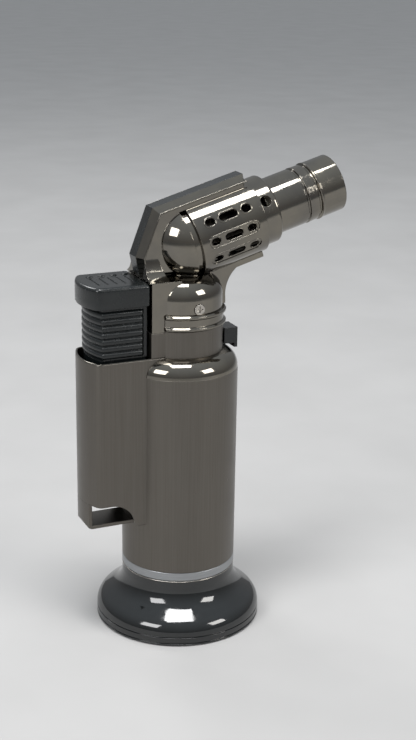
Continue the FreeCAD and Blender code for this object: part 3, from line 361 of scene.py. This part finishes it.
def trigger_bellows():
    """Skirt with rounded ribs that die away before a flat band at its front, over a plain guide."""
    outer = bowed_plan(SKIRT_BACK, SKIRT_FRONT, SKIRT_HALF, 0.5, 0.2)
    inner = bowed_plan(SKIRT_BACK - RIB_DEPTH, SKIRT_FRONT, SKIRT_HALF - RIB_DEPTH, 0.3, 0.2)
    band_start, band_end, band_depth = -SKIRT_FRONT - 2.0, -SKIRT_FRONT - 1.2, 1.15
    first_rib = SKIRT_LOW + 1.7
    rings = []
    steps = 12
    for index in range(RIB_COUNT * steps + 8):
        z = SKIRT_LOW + index * RIB_PITCH / steps
        if z > CAP_LOW:
            break
        nearest = first_rib + RIB_PITCH * min(RIB_COUNT - 1, max(0, round((z - first_rib) / RIB_PITCH)))
        off = min(1.0, abs(z - nearest) / (0.5 * RIB_PITCH))
        depth = 1 - (1 - off ** 2.6) ** 0.6
        ring = []
        for (ox, oy), (ix, iy) in zip(outer, inner):
            toward_band = min(1.0, max(0.0, (ox - band_start) / (band_end - band_start)))
            share = depth + (band_depth - depth) * toward_band ** 2 * (3 - 2 * toward_band)
            ring.append((ox + (ix - ox) * share, oy + (iy - oy) * share, z))
        rings.append(ring)
    rings.append([(x, y, CAP_LOW + 0.4) for x, y, _ in rings[-1]])
    room = bowed_plan(SKIRT_BACK - 1.7, SKIRT_FRONT + 1.6, SKIRT_HALF - 1.7, 0.3, 0.2)
    rings += [level(room, CAP_LOW + 0.4), level(room, SKIRT_LOW)]
    mesh = bmesh.new()
    skin(mesh, rings, capped=False, looped=True)
    piece("trigger_bellows", mesh, "black_plastic", "trigger", 55)
    guide = bmesh.new()
    rings = []
    for inset, z in ((0.5, GUIDE_LOW), (0, GUIDE_LOW + 0.5), (0, SKIRT_LOW + 0.2)):
        plan = bowed_plan(GUIDE_BACK - inset, GUIDE_FRONT + inset, GUIDE_HALF - inset, 0.8, 0.3)
        rings.append(level(plan, z))
    room = bowed_plan(GUIDE_BACK - 1.2, GUIDE_FRONT + 1.2, GUIDE_HALF - 1.2, 0.4, 0.3)
    rings += [level(room, SKIRT_LOW + 0.2), level(room, GUIDE_LOW)]
    skin(guide, rings, capped=False, looped=True)
    piece("trigger_guide", guide, "black_plastic", "trigger")


trigger_cap()
trigger_bellows()


# ---------------------------------------------------------------- barrel details

BARREL_HEIGHT, BARREL_TILT, BARREL_RADIUS = 116.77, math.radians(16.36), 11.3
BARREL = Matrix.Translation((0, 0, BARREL_HEIGHT)) @ Matrix.Rotation(math.pi / 2 - BARREL_TILT, 4, "Y")
VENT_MIDDLE, VENT_PITCH, VENT_LONG, VENT_SHORT, VENT_HALF, VENT_STEP = 12.3, 5.8, 5.8, 3.0, 1.15, 30


def rim(mesh, station, angle, length, half, lift, thick):
    """Bead that follows a rounded slot's outline on the barrel."""
    straight = length / 2 - half
    outline = arc((straight, 0), half, -math.pi / 2, math.pi / 2, 14)
    outline += arc((-straight, 0), half, math.pi / 2, 3 * math.pi / 2, 14)
    radius = BARREL_RADIUS + lift
    centres = []
    for along, across in outline:
        turn = math.radians(angle) + across / BARREL_RADIUS
        out = Vector((math.cos(turn), math.sin(turn), 0))
        centres.append((out * radius + Vector((0, 0, station + along)), out))
    rings = []
    for index, (centre, out) in enumerate(centres):
        ahead = centres[(index + 1) % len(centres)][0] - centres[index - 1][0]
        side = ahead.cross(out).normalized()
        rings.append([BARREL @ (centre + thick * (math.cos(t) * out + math.sin(t) * side))
                      for t in (2 * math.pi * k / 10 for k in range(10))])
    skin(mesh, rings, capped=False, looped=True)


def vent_rims():
    """Raised rims round the upper vents, edge lines in and round the recesses of the others."""
    mesh = bmesh.new()
    for side in (90, -90):
        for row in (-1, 0, 1):
            angle = side + row * VENT_STEP
            upper = row * side > 0
            if not upper:
                recess_length = 2 * VENT_PITCH + VENT_SHORT + 1.6
                rim(mesh, VENT_MIDDLE, angle, recess_length, VENT_HALF + 0.7, -0.08, 0.16)
            lift, thick, grow = (0.0, 0.27, 0.2) if upper else (-0.34, 0.13, 0.05)
            for step, length in ((-1, VENT_SHORT), (0, VENT_LONG), (1, VENT_SHORT)):
                station = VENT_MIDDLE + step * VENT_PITCH
                rim(mesh, station, angle, length + 2 * grow, VENT_HALF + grow, lift, thick)
    piece("vent_rims", mesh, "black_chrome", "torch")


vent_rims()


# ---------------------------------------------------------------- bright edges

def bead(mesh, path, radius, sides=10):
    """Thin round bar along a path, closed at both ends."""
    points = [Vector(point) for point in path]
    rings = []
    across = None
    for index, point in enumerate(points):
        ahead = (points[min(index + 1, len(points) - 1)] - points[max(index - 1, 0)]).normalized()
        across = (across or ahead.orthogonal())
        across = (across - ahead * across.dot(ahead)).normalized()
        upward = ahead.cross(across)
        rings.append([point + radius * (math.cos(t) * across + math.sin(t) * upward)
                      for t in (2 * math.pi * k / sides for k in range(sides))])
    skin(mesh, rings)


HEAD_HALF, HEAD_BEVEL, ROOF_OFFSET, ROOF_END = 5.28, 1.62, 13.15, 22.3
FOOT_X, FOOT_Z, KNEE_X, KNEE_Z, CROWN_X, CROWN_Z = 14.2, 110.6, 14.9, 114, 9.8, 127.6
HOUSING_BACK, HOUSING_FRONT, HOUSING_HALF, HOUSING_TOP, HOUSING_CORNER = 31.3, 8.9, 9.35, 85.6, 2.2
COLLAR_RADIUS, COLLAR_LOW = 17.02, 17.15


def head_edges():
    """Polished edge lines on both sides of the head plate."""
    roof = ROOF_OFFSET - HEAD_BEVEL
    cosine, sine = math.cos(BARREL_TILT), math.sin(BARREL_TILT)
    outline = [(HEAD_BEVEL - FOOT_X, FOOT_Z), (HEAD_BEVEL - KNEE_X, KNEE_Z),
               (0.85 * HEAD_BEVEL - CROWN_X, CROWN_Z - 0.75 * HEAD_BEVEL),
               (ROOF_END * cosine - roof * sine, BARREL_HEIGHT + ROOF_END * sine + roof * cosine)]
    mesh = bmesh.new()
    for side in (HEAD_HALF, -HEAD_HALF):
        bead(mesh, [(x, side, z) for x, z in outline], 0.2)
    piece("head_edge_beads", mesh, "black_chrome", "torch")


def housing_rim():
    """Polished bead along the rim of the trigger housing."""
    inset = 0.28
    points = bowed_plan(HOUSING_BACK - inset, HOUSING_FRONT, HOUSING_HALF - inset,
                        HOUSING_CORNER - inset, 0.05)
    first = max(range(len(points)), key=lambda k: (round(points[k][0], 3), points[k][1]))
    route = points[first:] + points[:first]
    path = [(x, y, HOUSING_TOP - 0.12) for x, y in route if x < -HOUSING_FRONT - 0.2]
    mesh = bmesh.new()
    bead(mesh, path, 0.24)
    piece("housing_rim_bead", mesh, "black_chrome", "torch")


def collar_bead():
    """Bright hairline where the collar meets the stand."""
    steps, thick = 120, 0.16
    mesh = bmesh.new()
    rings = []
    for step in range(steps):
        turn = 2 * math.pi * step / steps
        out = Vector((math.cos(turn), math.sin(turn), 0))
        upward = Vector((0, 0, 1))
        centre = out * COLLAR_RADIUS + upward * COLLAR_LOW
        rings.append([centre + thick * (math.cos(t) * out + math.sin(t) * upward)
                      for t in (2 * math.pi * k / 10 for k in range(10))])
    skin(mesh, rings, capped=False, looped=True)
    piece("collar_bead", mesh, "screw_steel", "torch")


head_edges()
housing_rim()
collar_bead()


# ---------------------------------------------------------------- stage

def floor():
    """Plain pale disc under the object."""
    mesh = bpy.data.meshes.new("floor")
    ring = 96
    reach = 8.0
    turns = [2 * math.pi * i / ring for i in range(ring)]
    points = [(reach * math.cos(turn), reach * math.sin(turn), 0) for turn in turns]
    mesh.from_pydata(points, [], [tuple(range(ring))])
    obj = bpy.data.objects.new("floor", mesh)
    bpy.context.scene.collection.objects.link(obj)
    tree = Tree("floor_paint", 0.0, 0.75, (0.42, 0.415, 0.41))
    cloud = tree.ranged(tree.noise(0.02, 3), 0.3, 0.7)
    tree.set("Base Color", tree.mix(cloud, (0.405, 0.40, 0.395), (0.435, 0.43, 0.425)))
    mesh.materials.append(tree.material)


def softbox(name, place, aim, width, height, power, colour=(1, 1, 1)):
    """Rectangular area light that faces a point."""
    light = bpy.data.lights.new(name, "AREA")
    light.shape = "RECTANGLE"
    light.size, light.size_y = width, height
    light.energy = power
    light.color = colour
    obj = bpy.data.objects.new(name, light)
    bpy.context.scene.collection.objects.link(obj)
    obj.location = place
    obj.rotation_euler = (Vector(place) - Vector(aim)).to_track_quat("Z", "Y").to_euler()


floor()
softbox("overhead", (-0.05, -0.2, 1.15), (0, 0, 0.08), 0.5, 0.32, 9)
softbox("left_box", (-0.62, -0.30, 0.50), (0, 0, 0.06), 0.34, 0.30, 3.0)
softbox("right_box", (0.50, -0.62, 0.52), (0, 0, 0.06), 0.34, 0.30, 3.2, (1.0, 0.98, 0.95))
softbox("back_box", (-0.25, 0.7, 0.75), (0, 0, 0.08), 0.3, 0.2, 2)

world = bpy.data.worlds.new("studio")
world.use_nodes = True
sky_nodes, sky_links = world.node_tree.nodes, world.node_tree.links
direction = sky_nodes.new("ShaderNodeTexCoord")
height = sky_nodes.new("ShaderNodeSeparateXYZ")
ramp = sky_nodes.new("ShaderNodeValToRGB")
ramp.color_ramp.elements[0].color = (0.27, 0.27, 0.275, 1)
ramp.color_ramp.elements[0].position = 0.08
ramp.color_ramp.elements[1].color = (0.62, 0.66, 0.70, 1)
ramp.color_ramp.elements[1].position = 0.9
sky_links.new(direction.outputs["Generated"], height.inputs["Vector"])
sky_links.new(height.outputs["Z"], ramp.inputs["Fac"])
sky_links.new(ramp.outputs["Color"], sky_nodes["Background"].inputs["Color"])
bpy.context.scene.world = world
bpy.context.scene.view_settings.view_transform = "Standard"


# ---------------------------------------------------------------- camera

AZIMUTH, ELEVATION, ROLL = math.radians(-24.687), math.radians(18.042), math.radians(0.944)
DISTANCE, LENS = 398.68, 64.95
target = Vector((9.252, 0, 76.94)) * MM
flat = math.cos(ELEVATION)
back = Vector((math.sin(AZIMUTH) * flat, -math.cos(AZIMUTH) * flat, math.sin(ELEVATION)))
level_right = Vector((math.cos(AZIMUTH), math.sin(AZIMUTH), 0))
level_up = back.cross(level_right)
right = level_right * math.cos(ROLL) + level_up * math.sin(ROLL)
up = back.cross(right)
camera = bpy.data.cameras.new("camera")
camera.sensor_fit = "VERTICAL"
camera.sensor_height = 36
camera.lens = LENS
camera.clip_start = 0.01
camera_object = bpy.data.objects.new("camera", camera)
bpy.context.scene.collection.objects.link(camera_object)
turn = Matrix((right, up, back)).transposed().to_4x4()
camera_object.matrix_world = Matrix.Translation(target + back * DISTANCE * MM) @ turn
bpy.context.scene.camera = camera_object
